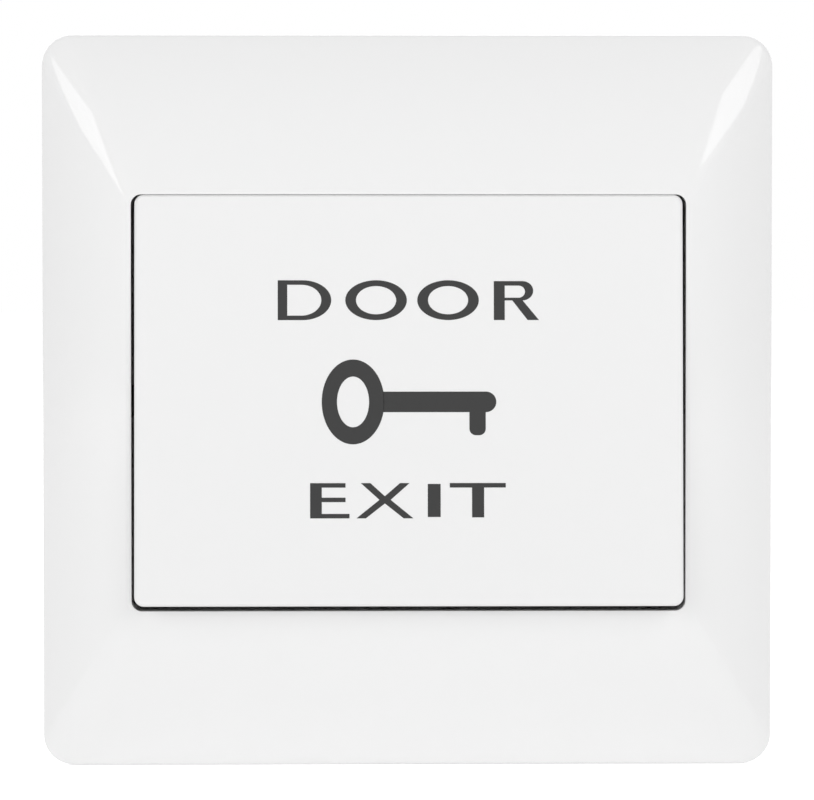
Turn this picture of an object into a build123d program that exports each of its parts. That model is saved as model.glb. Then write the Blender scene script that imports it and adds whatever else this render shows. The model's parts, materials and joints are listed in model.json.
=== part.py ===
from build123d import *

import os
from math import cos, radians, sin

# A door exit button for a square wall plate. A push plate is hinged at its top edge in a
# clip-on cover, and works a sprung contact in a housing that goes back into the wall box.
# Millimetres. X runs across, Z is up and the front faces -Y. The wall is the plane Y = 0,
# and the origin lies on it, midway between the two wall screws.

# Cover
plate_size = 86.0
plate_corner = 3.6
edge_height = 2.6
rim_height = 9.5
cover_crown = 1.04
mitre_round = 4.4
cover_wall = 1.8
cover_roof = 2.4
edge_break = 0.4
wall_gap = 0.3
pry_notch_width = 10.0
pry_notch_height = 1.1

# Window in the cover, set by the borders left beside it and above and below it
side_border = 10.75
end_border = 18.75
window_corner = 1.2
window_land = 0.5
window_wall = 1.6
window_depth = 3.7
window_break = 0.3

# Hooks that hold the cover on the base
hook_inset = 25.0
hook_width = 8.0
hook_thickness = 1.2
hook_barb = 0.9
hook_barb_height = 1.2
hook_barb_lead = 0.3
hook_gap = 0.2

# Button
button_gap = 0.43
button_top_gap = 0.33
button_corner = 1.1
button_stand = 0.3
button_face = 2.2
button_wall = 1.8
button_depth = 4.5
button_break = 0.3
button_rib = 1.2
button_rib_depth = 1.2
button_rib_spread = 26.0
pusher_radius = 3.2
pusher_length = 1.2

# Hinge of the button
press_angle = 3.6
hinge_inset = 5.25
hinge_rise = 3.0
bearing_inset = 7.25
bearing_width = 2.4
bearing_length = 5.2
bearing_top = 1.4
pin_radius = 1.25
pin_gap = 0.06
pin_end = 0.4
throat_width = 2.0
lug_width = 1.9
lug_radius = 2.0
lug_gap = 0.3

# Stops that keep the button from swinging out
stop_side_inset = 6.75
stop_inset = 4.85
stop_width = 5.0
stop_thickness = 1.6
stop_barb = 1.0
stop_barb_height = 1.0
stop_bar = 1.2
stop_bar_depth = 1.55
stop_bar_rise = 1.9
stop_post = 1.2
stop_gap = 0.2
stop_side_gap = 0.7
touch_gap = 0.05

# Base
base_thickness = 2.0
base_edge_gap = 0.25
ring_gap = 1.55
ring_wall = 1.6
ring_roof_gap = 0.3

# Wall screws, on the spacing of a standard wall box
wall_screw_spacing = 60.3
wall_slot_width = 4.2
wall_slot_length = 6.5

# Switch housing
housing_width = 41.0
housing_height = 22.0
housing_drop = 4.0
housing_back = 11.0
housing_wall = 1.5
housing_gap = 0.2
flange_overlap = 2.3
flange_thickness = 1.6
flange_corner = 1.5
pocket_share = 0.2
guide_gap = 0.2
guide_wall = 1.2
guide_lap = 0.7
guide_top_gap = 0.6

# Lid of the housing
lid_thickness = 1.2
lid_collar = 0.6
lid_collar_wall = 1.4
lid_lip = 0.8
lid_lip_gap = 0.15
guide_fit = 0.06

# Screws that hold the lid and the housing on the base
case_screw_inset = 2.0
case_screw_radius = 1.2
case_screw_length = 8.5
case_head_radius = 2.4
case_head_height = 1.6
case_screw_fit = 0.02
case_hole_gap = 0.2
case_ear_radius = 3.4
boss_radius = 3.0
boss_depth = 6.0
boss_floor = 1.0
boss_gap = 0.3
recess_width = 0.7
recess_length = 2.6
recess_depth = 0.9

# Plunger
plunger_width = 4.8
plunger_length = 9.2
tip_radius = 3.0
shoulder_thickness = 1.5
shoulder_gap = 0.1
leg_thickness = 1.4
seat_thickness = 1.2
seat_radius = 3.3
seat_post_radius = 2.1
seat_post_length = 1.3
contact_window = 3.6
contact_post_radius = 0.9
contact_post_length = 1.1

# Moving contact
bridge_end_gap = 1.4
bridge_width = 5.0
bridge_thickness = 0.5
bridge_gap = 0.02
contact_travel = 1.03
contact_rest = 0.03
contact_inset = 1.9
contact_radius = 1.6
contact_height = 0.6

# Fixed contact strips and terminals
strip_width = 5.0
strip_thickness = 0.8
strip_lead = 2.0
strip_end_gap = 1.0
sheet_corner = 0.8
strip_gap = 0.08
pocket_height = 8.6
clamp_gap = 0.6
clamp_thickness = 1.0
clamp_hole_gap = 0.25
wire_space = 1.8
terminal_screw_radius = 1.5
terminal_screw_reach = 3.6
terminal_head_radius = 2.9
terminal_head_height = 2.2
terminal_fit = 0.02
terminal_hole_gap = 0.3
terminal_slot_width = 0.9
wire_entry_width = 3.6
wire_entry_height = 3.2

# Springs
return_wire = 0.5
return_radius = 2.75
return_turns = 4
contact_wire = 0.3
contact_coil = 1.5
contact_turns = 3
spring_seat_gap = 0.04

# Worked out from the sizes above
window_width = plate_size - 2 * side_border
window_height = plate_size - 2 * end_border
inner_width = window_width + 2 * window_wall
inner_height = window_height + 2 * window_wall
button_width = window_width - 2 * button_gap
button_height = window_height - 2 * button_gap
top_reach = button_gap - button_top_gap
pivot_height = base_thickness + hinge_rise
pivot_z = window_height / 2 - hinge_inset
tilt = radians(press_angle)
face_level = rim_height + button_stand - pivot_height
underside_level = face_level - button_face
pusher_level = underside_level - pusher_length
ring_width = inner_width + 2 * (ring_gap + ring_wall)
ring_depth = inner_height + 2 * (ring_gap + ring_wall)
base_size = plate_size - 2 * (cover_wall + base_edge_gap)

flange_front = base_thickness + flange_thickness
lid_front = flange_front + lid_thickness
housing_z = -housing_drop
housing_floor = housing_wall - housing_back
chamber_height = housing_height - 2 * housing_wall
pocket_length = pocket_share * housing_width
chamber_width = housing_width - 2 * (2 * housing_wall + pocket_length)
lever = pivot_z - housing_z
plunger_travel = lever * tilt

shoulder_top = flange_front - shoulder_gap
shoulder_base = shoulder_top - shoulder_thickness
seat_top = shoulder_base - contact_window
seat_base = seat_top - seat_thickness
tip_level = pivot_height + (
    (pusher_level - tip_radius - touch_gap + lever * sin(tilt)) / cos(tilt)
)
bridge_base = seat_top + bridge_gap
bridge_top = bridge_base + bridge_thickness
strip_top = bridge_base - 2 * contact_height - contact_travel - contact_rest
strip_base = strip_top - strip_thickness
pocket_inner = chamber_width / 2 + housing_wall
pocket_outer = housing_width / 2 - housing_wall
pocket_centre = (pocket_inner + pocket_outer) / 2
bridge_length = chamber_width - 2 * bridge_end_gap
contact_spread = bridge_length - 2 * contact_inset
strip_inner = contact_spread / 2 - strip_lead
strip_outer = pocket_outer - strip_end_gap
clamp_side = pocket_length - 2 * clamp_gap
clamp_top = strip_base - wire_space
clamp_base = clamp_top - clamp_thickness

ring_corner = window_corner + window_wall + ring_gap + ring_wall
hook_spread = plate_size - 2 * hook_inset
hook_inner = ring_depth / 2 + hook_gap
hook_outer = hook_inner + hook_thickness
hook_tip = base_thickness + 2 * hook_gap
hollow_size = plate_size - 2 * cover_wall
housing_corner = flange_corner / 2

bearing_spread = window_width - 2 * bearing_inset
lug_centre = bearing_spread / 2 - bearing_width / 2 - lug_gap - lug_width / 2
pin_length = lug_gap + bearing_width + pin_end
pin_centre = lug_centre + lug_width / 2 + pin_length / 2
bearing_foot = hinge_rise / 2

stop_spread = window_width - 2 * stop_side_inset
stop_arm_top = stop_inset + stop_thickness / 2 - button_height / 2 - pivot_z
stop_arm_base = stop_arm_top - stop_thickness
stop_bar_base = base_thickness + stop_bar_rise
stop_shoulder = (
    stop_bar_base - touch_gap - pivot_height + (stop_arm_base - stop_barb) * sin(tilt)
) / cos(tilt)
stop_bar_edge = pivot_z + stop_arm_base * cos(tilt) + stop_shoulder * sin(tilt) - stop_gap
stop_bar_centre = stop_bar_edge - stop_bar_depth / 2
stop_clear_width = stop_width + 2 * stop_side_gap
stop_hole_top = pivot_z + stop_arm_top + stop_gap
stop_hole_base = pivot_z + stop_arm_base - stop_barb - stop_gap
stop_hole_centre = (stop_hole_top + stop_hole_base) / 2
stop_hole_depth = stop_hole_top - stop_hole_base

guide_start = plunger_length / 2 - guide_lap
guide_depth = chamber_height / 2 - guide_start
guide_centre = guide_start + guide_depth / 2
guide_groove_centre = guide_start + (guide_lap + guide_gap) / 2
slot_centre = chamber_width / 2 + housing_wall / 2
strip_rib_width = chamber_width / 2 - contact_spread / 2 - contact_radius
strip_rib_centre = chamber_width / 2 - strip_rib_width / 2
core_height = chamber_height / 2 - pocket_height / 2 - housing_wall
core_centre = chamber_height / 2 - core_height / 2
lid_lip_break = plunger_width + 2 * (guide_gap + guide_wall) + 2 * lid_lip_gap

sides = {"left": -1, "right": 1}
case_screw_x = housing_width / 2 + boss_gap + boss_radius
case_screw_up = housing_height / 2 - case_screw_inset
case_screws = {
    "upper": (-case_screw_x, housing_z + case_screw_up),
    "lower": (case_screw_x, housing_z - case_screw_up),
}


def layer(height):
    """A plane parallel to the wall, this far in front of it: x across, y up."""
    return Plane.XZ.offset(height)


def profile_plane(x):
    """A plane square to the wall at x: its x is the height off the wall and its y is up."""
    return Plane(origin=(x, 0, 0), x_dir=(0, -1, 0), z_dir=(-1, 0, 0))


button_frame = Plane(
    origin=(0, -pivot_height, pivot_z), x_dir=(1, 0, 0), z_dir=(0, -cos(tilt), sin(tilt))
)


def button_layer(level):
    """A plane parallel to the button's face, this far in front of the hinge axis."""
    return button_frame.offset(level)


def button_profile(x):
    """A plane square to the button at x: its x runs out through the face and its y is up."""
    return Plane(
        origin=button_frame.from_local_coords((x, 0, 0)),
        x_dir=button_frame.z_dir,
        z_dir=(-1, 0, 0),
    )


def between(start, end, share):
    return start + (end - start) * share


def crown_height(share):
    """Height of the cover's crowned face, this share of the way from its edge to the window."""
    return between(edge_height, rim_height, share) + 4 * cover_crown * share * (1 - share)


def hollow_height(share):
    """Height of the hollow behind that face, this share of the way in to the window's wall."""
    inset = (plate_size - between(hollow_size, inner_width, share)) / 2
    return crown_height(inset / (side_border - window_land)) - cover_roof


# The hooks and the base's ring both end against the hollow's roof
hook_share = (hollow_size / 2 - hook_outer) / (hollow_size - inner_height) * 2
hook_root = hollow_height(hook_share) + cover_roof / 2
ring_share = (hollow_size - ring_width) / (hollow_size - inner_width)
ring_top = hollow_height(ring_share) - ring_roof_gap


# Clip-on cover with a crowned face, an open window and four hooks
with BuildPart() as frame_cover:
    with BuildSketch(layer(wall_gap)):
        RectangleRounded(plate_size, plate_size, plate_corner)
    extrude(amount=rim_height - wall_gap)
    # Cutting the block to one crowned section across and one up leaves the four mitres
    for x_dir, z_dir, window in (
        ((1, 0, 0), (0, 0, -1), window_width),
        ((0, 0, 1), (1, 0, 0), window_height),
    ):
        half_plate = plate_size / 2
        half_rim = window / 2 + window_land
        with BuildSketch(Plane(origin=(0, 0, 0), x_dir=x_dir, z_dir=z_dir)):
            with BuildLine():
                crown = ThreePointArc(
                    (half_plate, edge_height),
                    ((half_plate + half_rim) / 2, crown_height(0.5)),
                    (half_rim, rim_height),
                )
                Polyline(crown @ 1, (0, rim_height), (0, 0), (half_plate, 0), crown @ 0)
            make_face()
            mirror(about=Plane.YZ)
        extrude(amount=half_plate, both=True, mode=Mode.INTERSECT)
    mitres = frame_cover.edges().filter_by(
        lambda e: abs(e.center().Y + crown_height(0.5)) < cover_crown
    )
    fillet(mitres, mitre_round)
    edge = frame_cover.edges().filter_by(lambda e: abs(e.center().Y + edge_height) < edge_break)
    chamfer(edge, edge_break)
    # The hollow behind it follows the crown in three flat steps, in to the window's own wall
    with BuildSketch(layer(wall_gap)):
        Rectangle(hollow_size, hollow_size)
    extrude(amount=hollow_height(0) - wall_gap, mode=Mode.SUBTRACT)
    for share in (0, 1 / 3, 2 / 3, 1):
        with BuildSketch(layer(hollow_height(share))):
            Rectangle(
                between(hollow_size, inner_width, share),
                between(hollow_size, inner_height, share),
            )
    loft(ruled=True, mode=Mode.SUBTRACT)
    with BuildSketch(layer(rim_height - window_depth)):
        RectangleRounded(inner_width, inner_height, window_corner + window_wall)
    extrude(amount=window_depth - cover_roof / 2)
    with BuildSketch(layer(0)):
        RectangleRounded(window_width, window_height, window_corner)
    extrude(amount=2 * rim_height, mode=Mode.SUBTRACT)
    face_plane = frame_cover.faces().sort_by(Axis.Y)[0]
    chamfer(face_plane.inner_wires()[0].edges(), window_break)
    # Hook arms reach down outside the base's ring, with barbs that point in at its windows
    for x in (-hook_spread / 2, hook_spread / 2):
        with BuildSketch(profile_plane(x)):
            for side in (-1, 1):
                with BuildLine():
                    Polyline(
                        (hook_tip, side * hook_outer),
                        (hook_root, side * hook_outer),
                        (hook_root, side * hook_inner),
                        (hook_tip + hook_barb_height, side * hook_inner),
                        (hook_tip + hook_barb_height, side * (hook_inner - hook_barb)),
                        (hook_tip, side * (hook_inner - hook_barb_lead)),
                        close=True,
                    )
                make_face()
        extrude(amount=hook_width / 2, both=True)
    # A notch in the lower edge takes the blade that lifts the cover off
    with BuildSketch(Plane.XY.offset(-plate_size / 2)):
        with Locations((0, -wall_gap)):
            Rectangle(pry_notch_width, 2 * pry_notch_height)
    extrude(amount=cover_wall, mode=Mode.SUBTRACT)
frame_cover.part.label = "frame_cover"

# Push plate with its skirt, hinge lugs, stop arms, pusher and stiffening ribs
with BuildPart() as button_cap:
    with BuildSketch(button_layer(face_level - button_depth)):
        with Locations((0, top_reach / 2 - pivot_z)):
            RectangleRounded(button_width, button_height + top_reach, button_corner)
    extrude(amount=button_depth)
    front = button_cap.faces().sort_by(Axis(button_frame.origin, button_frame.z_dir))[-1]
    chamfer(front.edges(), button_break)
    with BuildSketch(button_layer(face_level - button_depth)):
        with Locations((0, -pivot_z)):
            Rectangle(button_width - 2 * button_wall, button_height - 2 * button_wall)
    extrude(amount=button_depth - button_face, mode=Mode.SUBTRACT)
    with BuildSketch(button_layer(underside_level - button_rib_depth)):
        with Locations((0, -pivot_z)):
            with GridLocations(button_rib_spread, 1, 2, 1):
                Rectangle(button_rib, button_height - button_wall)
        with Locations((0, -lever)):
            Rectangle(button_width - button_wall, button_rib)
    extrude(amount=button_rib_depth)
    with BuildSketch(button_layer(pusher_level)):
        with Locations((0, -lever)):
            Circle(pusher_radius)
    extrude(amount=pusher_length)
    for side in sides.values():
        with BuildSketch(button_profile(side * lug_centre)):
            Circle(lug_radius)
            with Locations((underside_level / 2, 0)):
                Rectangle(underside_level, 2 * lug_radius)
        extrude(amount=lug_width / 2, both=True)
        with BuildSketch(button_profile(side * pin_centre)):
            Circle(pin_radius)
        extrude(amount=pin_length / 2, both=True)
        with BuildSketch(button_profile(side * stop_spread / 2)):
            with BuildLine():
                Polyline(
                    (underside_level, stop_arm_top),
                    (stop_shoulder - stop_barb_height, stop_arm_top),
                    (stop_shoulder - stop_barb_height, stop_arm_top - stop_thickness),
                    (stop_shoulder, stop_arm_top - stop_thickness - stop_barb),
                    (stop_shoulder, stop_arm_top - stop_thickness),
                    (underside_level, stop_arm_top - stop_thickness),
                    close=True,
                )
            make_face()
        extrude(amount=stop_width / 2, both=True)
button_cap.part.label = "button_cap"

# Base plate with its ring, hinge bearings, stop bars, screw bosses and slots
with BuildPart() as mounting_base:
    with BuildSketch(layer(0)):
        RectangleRounded(base_size, base_size, plate_corner - cover_wall - base_edge_gap)
    extrude(amount=base_thickness)
    with BuildSketch(layer(base_thickness)):
        RectangleRounded(ring_width, ring_depth, ring_corner)
        offset(amount=-ring_wall, mode=Mode.SUBTRACT)
    extrude(amount=ring_top - base_thickness)
    # Windows in the ring take the cover's barbs
    with BuildSketch(layer(hook_tip - hook_gap)):
        with GridLocations(hook_spread, ring_depth - ring_wall, 2, 2):
            Rectangle(hook_width + 2 * hook_gap, 2 * ring_wall)
    extrude(amount=hook_barb_height + 2 * hook_gap, mode=Mode.SUBTRACT)
    # The housing hangs in this opening by its flange
    with BuildSketch(layer(0)):
        with Locations((0, housing_z)):
            Rectangle(housing_width + 2 * housing_gap, housing_height + 2 * housing_gap)
    extrude(amount=base_thickness, mode=Mode.SUBTRACT)
    # Slots for the two wall screws, along the line between them
    with BuildSketch(layer(0)):
        with GridLocations(wall_screw_spacing, 1, 2, 1):
            SlotOverall(wall_slot_length, wall_slot_width)
    extrude(amount=base_thickness, mode=Mode.SUBTRACT)
    for side in sides.values():
        # An ear with a bore that the button's pin clicks into from the front
        with BuildSketch(profile_plane(side * bearing_spread / 2)):
            with BuildLine():
                Polyline(
                    (0, pivot_z - bearing_length / 2 - bearing_foot),
                    (base_thickness, pivot_z - bearing_length / 2 - bearing_foot),
                    (pivot_height, pivot_z - bearing_length / 2),
                    (pivot_height + bearing_top, pivot_z - bearing_length / 2),
                    (pivot_height + bearing_top, pivot_z + bearing_length / 2),
                    (0, pivot_z + bearing_length / 2),
                    close=True,
                )
            make_face()
            with Locations((pivot_height, pivot_z)):
                Circle(pin_radius + pin_gap, mode=Mode.SUBTRACT)
                with Locations((bearing_top, 0)):
                    Rectangle(2 * bearing_top, throat_width, mode=Mode.SUBTRACT)
        extrude(amount=bearing_width / 2, both=True)
        # A bar on two posts that the button's stop arm hooks behind, over a hole for its tip
        with BuildSketch(layer(base_thickness)):
            with Locations((side * stop_spread / 2, stop_bar_centre)):
                Rectangle(stop_clear_width + 2 * stop_post, stop_bar_depth)
        extrude(amount=stop_bar_rise + stop_bar)
        with BuildSketch(layer(0)):
            with Locations((side * stop_spread / 2, stop_hole_centre)):
                Rectangle(stop_clear_width, stop_hole_depth)
        extrude(amount=base_thickness + stop_bar_rise, mode=Mode.SUBTRACT)
    # Blind bosses behind the base take the two case screws
    with BuildSketch(layer(-boss_depth)):
        with Locations(*case_screws.values()):
            Circle(boss_radius)
    extrude(amount=boss_depth)
    with BuildSketch(layer(boss_floor - boss_depth)):
        with Locations(*case_screws.values()):
            Circle(case_screw_radius + case_screw_fit)
    extrude(amount=boss_depth - boss_floor + base_thickness, mode=Mode.SUBTRACT)
mounting_base.part.label = "mounting_base"


def case_outline(hole_gap):
    """Outline shared by the housing's flange and its lid, with the two screw ears."""
    with Locations((0, housing_z)):
        RectangleRounded(
            housing_width + 2 * flange_overlap,
            housing_height + 2 * flange_overlap,
            flange_corner,
        )
    with Locations(*case_screws.values()):
        Circle(case_ear_radius)
        Circle(case_screw_radius + hole_gap, mode=Mode.SUBTRACT)


# Housing that goes back through the base into the wall box
with BuildPart() as switch_housing:
    with BuildSketch(layer(-housing_back)):
        with Locations((0, housing_z)):
            RectangleRounded(housing_width, housing_height, housing_corner)
    extrude(amount=housing_back + base_thickness)
    with BuildSketch(layer(base_thickness)):
        case_outline(case_hole_gap)
    extrude(amount=flange_thickness)
    # Contact chamber, open to the front
    with BuildSketch(layer(housing_floor)):
        with Locations((0, housing_z)):
            Rectangle(chamber_width, chamber_height)
    extrude(amount=flange_front - housing_floor, mode=Mode.SUBTRACT)
    # Channels that guide the plunger's two legs
    with BuildSketch(layer(housing_floor)):
        for side in (-1, 1):
            with Locations((0, housing_z + side * guide_centre)):
                Rectangle(plunger_width + 2 * (guide_gap + guide_wall), guide_depth)
            with Locations((0, housing_z + side * guide_groove_centre)):
                Rectangle(
                    plunger_width + 2 * guide_gap,
                    guide_lap + guide_gap,
                    mode=Mode.SUBTRACT,
                )
    extrude(amount=flange_front - guide_top_gap - housing_floor)
    # A short post holds the return spring in place
    with BuildSketch(layer(housing_floor)):
        with Locations((0, housing_z)):
            Circle(seat_post_radius)
    extrude(amount=seat_post_length)
    for side in sides.values():
        # A rib under each contact strip, and a terminal pocket that is open to the rear
        with BuildSketch(layer(housing_floor)):
            with Locations((side * strip_rib_centre, housing_z)):
                Rectangle(strip_rib_width, strip_width)
        extrude(amount=strip_base - strip_gap - housing_floor)
        with BuildSketch(layer(-housing_back)):
            with Locations((side * pocket_centre, housing_z)):
                Rectangle(pocket_outer - pocket_inner, pocket_height)
        extrude(amount=housing_back + strip_top, mode=Mode.SUBTRACT)
        # The strip passes through the wall between chamber and pocket
        with BuildSketch(layer(strip_base - strip_gap)):
            with Locations((side * slot_centre, housing_z)):
                Rectangle(2 * housing_wall, strip_width + 2 * strip_gap)
        extrude(amount=strip_thickness + strip_gap, mode=Mode.SUBTRACT)
        # Blind hole for the terminal screw's end
        with BuildSketch(layer(strip_top)):
            with Locations((side * pocket_centre, housing_z)):
                Circle(terminal_screw_radius + terminal_hole_gap)
        extrude(amount=terminal_screw_reach + terminal_hole_gap, mode=Mode.SUBTRACT)
        # Wire entry from below, just wide enough for one core
        with BuildSketch(Plane.XY.offset(housing_z - housing_height / 2)):
            with Locations((side * pocket_centre, -strip_base + wire_entry_height / 2)):
                Rectangle(wire_entry_width, wire_entry_height)
        extrude(amount=housing_height / 2, mode=Mode.SUBTRACT)
        # Cores from the front keep the walls even
        with BuildSketch(layer(strip_top + housing_wall)):
            with Locations((side * pocket_centre, housing_z - core_centre)):
                Rectangle(pocket_outer - pocket_inner, core_height)
        extrude(amount=flange_front - strip_top - housing_wall, mode=Mode.SUBTRACT)
        with BuildSketch(layer(housing_floor)):
            with Locations((side * pocket_centre, housing_z + core_centre)):
                Rectangle(pocket_outer - pocket_inner, core_height)
        extrude(amount=flange_front - housing_floor, mode=Mode.SUBTRACT)
switch_housing.part.label = "switch_housing"

# Lid with the plunger's guide and a lip that fits the chamber
with BuildPart() as housing_lid:
    with BuildSketch(layer(flange_front)):
        case_outline(case_hole_gap)
    extrude(amount=lid_thickness)
    with BuildSketch(layer(flange_front)):
        with Locations((0, housing_z)):
            Circle(plunger_width / 2 + guide_fit + lid_collar_wall)
    extrude(amount=lid_thickness + lid_collar)
    with BuildSketch(layer(flange_front - lid_lip)):
        with Locations((0, housing_z)):
            Rectangle(chamber_width - 2 * lid_lip_gap, chamber_height - 2 * lid_lip_gap)
            Rectangle(
                chamber_width - 2 * (lid_lip_gap + lid_lip),
                chamber_height - 2 * (lid_lip_gap + lid_lip),
                mode=Mode.SUBTRACT,
            )
            Rectangle(lid_lip_break, chamber_height, mode=Mode.SUBTRACT)
    extrude(amount=lid_lip)
    with BuildSketch(layer(flange_front)):
        with Locations((0, housing_z)):
            Circle(plunger_width / 2 + guide_fit)
    extrude(amount=lid_thickness + lid_collar, mode=Mode.SUBTRACT)
housing_lid.part.label = "housing_lid"

# Plunger: a round stem on a block with a window that carries the moving contact
with BuildPart() as plunger:
    with BuildSketch(layer(seat_top)):
        with Locations((0, housing_z)):
            Rectangle(plunger_width, plunger_length)
    extrude(amount=shoulder_top - seat_top)
    with BuildSketch(layer(seat_base)):
        with Locations((0, housing_z)):
            Rectangle(plunger_width, plunger_length)
            Circle(seat_radius)
    extrude(amount=seat_thickness)
    with BuildSketch(layer(seat_top)):
        with Locations((0, housing_z)):
            Rectangle(plunger_width, plunger_length - 2 * leg_thickness)
    extrude(amount=contact_window, mode=Mode.SUBTRACT)
    with BuildSketch(layer(seat_base - seat_post_length)):
        with Locations((0, housing_z)):
            Circle(seat_post_radius)
    extrude(amount=seat_post_length)
    with BuildSketch(layer(shoulder_base - contact_post_length)):
        with Locations((0, housing_z)):
            Circle(contact_post_radius)
    extrude(amount=contact_post_length)
    # The stem ends in a rounded ridge that the button's pusher rolls on
    with BuildSketch(layer(shoulder_top)):
        with Locations((0, housing_z)):
            Circle(plunger_width / 2)
    extrude(amount=tip_level + tip_radius - shoulder_top)
    with BuildSketch(profile_plane(0)):
        with Locations((tip_level, housing_z)):
            Rectangle(tip_radius, 2 * tip_radius, align=(Align.MIN, Align.CENTER))
            Circle(tip_radius, mode=Mode.SUBTRACT)
    extrude(amount=plunger_width / 2, both=True, mode=Mode.SUBTRACT)
plunger.part.label = "plunger"


def coil(bottom, top, radius, wire, turns):
    """A compression spring about the plunger's axis, its wire kept four-sided to stay light."""
    length = top - bottom - wire - 2 * spring_seat_gap
    foot = (0, -bottom - wire / 2 - spring_seat_gap, housing_z)
    with BuildPart() as spring:
        with BuildLine() as path:
            Helix(length / turns, length, radius, center=foot, direction=(0, -1, 0))
        with BuildSketch(Plane(origin=path.line @ 0, z_dir=path.line % 0)):
            RegularPolygon(wire / 2, 4)
        sweep(path=path.line, is_frenet=True)
    return spring.part


springs = {
    "return_spring": coil(housing_floor, seat_base, return_radius, return_wire, return_turns),
    "contact_spring": coil(bridge_top, shoulder_base, contact_coil, contact_wire, contact_turns),
}

# Bridge that joins the two fixed contacts when the button is pressed
with BuildPart() as contact_bridge:
    with BuildSketch(layer(bridge_base)) as outline:
        with Locations((0, housing_z)):
            Rectangle(bridge_length, bridge_width)
        chamfer(outline.vertices(), sheet_corner)
    extrude(amount=bridge_thickness)
contact_bridge.part.label = "contact_bridge"

# Silver contacts, welded under the bridge's ends and on the two strips
contacts = {}
for name, side in sides.items():
    for kind, level in (("moving", bridge_base - contact_height), ("fixed", strip_top)):
        with BuildPart() as contact:
            with BuildSketch(layer(level)):
                with Locations((side * contact_spread / 2, housing_z)):
                    Circle(contact_radius)
            extrude(amount=contact_height)
        contacts[f"{kind}_contact_{name}"] = contact.part

# Brass strips from the fixed contacts out to the terminals
strips = {}
for name, side in sides.items():
    with BuildPart() as strip:
        with BuildSketch(layer(strip_base)) as outline:
            with Locations((side * (strip_inner + strip_outer) / 2, housing_z)):
                Rectangle(strip_outer - strip_inner, strip_width)
            chamfer(outline.vertices(), sheet_corner)
            with Locations((side * pocket_centre, housing_z)):
                Circle(terminal_screw_radius + terminal_fit, mode=Mode.SUBTRACT)
        extrude(amount=strip_thickness)
    strips[f"contact_strip_{name}"] = strip.part

# Square clamps and screws that hold the wires in the terminals
terminals = {}
for name, side in sides.items():
    with BuildPart() as clamp:
        with BuildSketch(layer(clamp_base)) as outline:
            with Locations((side * pocket_centre, housing_z)):
                Rectangle(clamp_side, clamp_side)
                chamfer(outline.vertices(), sheet_corner)
                Circle(terminal_screw_radius + clamp_hole_gap, mode=Mode.SUBTRACT)
        extrude(amount=clamp_thickness)
    with BuildPart() as screw:
        with BuildSketch(layer(clamp_base - terminal_head_height)):
            with Locations((side * pocket_centre, housing_z)):
                Circle(terminal_head_radius)
        extrude(amount=terminal_head_height)
        with BuildSketch(layer(clamp_base)):
            with Locations((side * pocket_centre, housing_z)):
                Circle(terminal_screw_radius)
        extrude(amount=strip_top + terminal_screw_reach - clamp_base)
        with BuildSketch(layer(clamp_base - terminal_head_height)):
            with Locations((side * pocket_centre, housing_z)):
                Rectangle(2 * terminal_head_radius, terminal_slot_width)
        extrude(amount=recess_depth, mode=Mode.SUBTRACT)
    terminals[f"terminal_clamp_{name}"] = clamp.part
    terminals[f"terminal_screw_{name}"] = screw.part

# Self-tapping screws through the lid and the flange into the base
fasteners = {}
for name, (x, z) in case_screws.items():
    with BuildPart() as screw:
        with BuildSketch(layer(lid_front)):
            with Locations((x, z)):
                Circle(case_head_radius)
        extrude(amount=case_head_height)
        with BuildSketch(layer(lid_front - case_screw_length)):
            with Locations((x, z)):
                Circle(case_screw_radius)
        extrude(amount=case_screw_length)
        with BuildSketch(layer(lid_front + case_head_height - recess_depth)):
            with Locations((x, z)):
                Rectangle(recess_length, recess_width)
                Rectangle(recess_width, recess_length)
        extrude(amount=recess_depth, mode=Mode.SUBTRACT)
    fasteners[f"case_screw_{name}"] = screw.part

pieces = [
    frame_cover.part,
    button_cap.part,
    mounting_base.part,
    switch_housing.part,
    housing_lid.part,
    plunger.part,
    contact_bridge.part,
]
for group in (springs, contacts, strips, terminals, fasteners):
    for name, piece in group.items():
        piece.label = name
        pieces.append(piece)

os.makedirs("parts", exist_ok=True)
for piece in pieces:
    export_step(piece, f"parts/{piece.label}.step")
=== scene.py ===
"""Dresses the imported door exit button, in metres and in the frame of its CAD model.

The front faces -Y and Z is up. Every piece's place is in its mesh, so all objects stay at the
origin.
"""

import json
from math import cos, pi, radians, sin, tan

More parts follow.
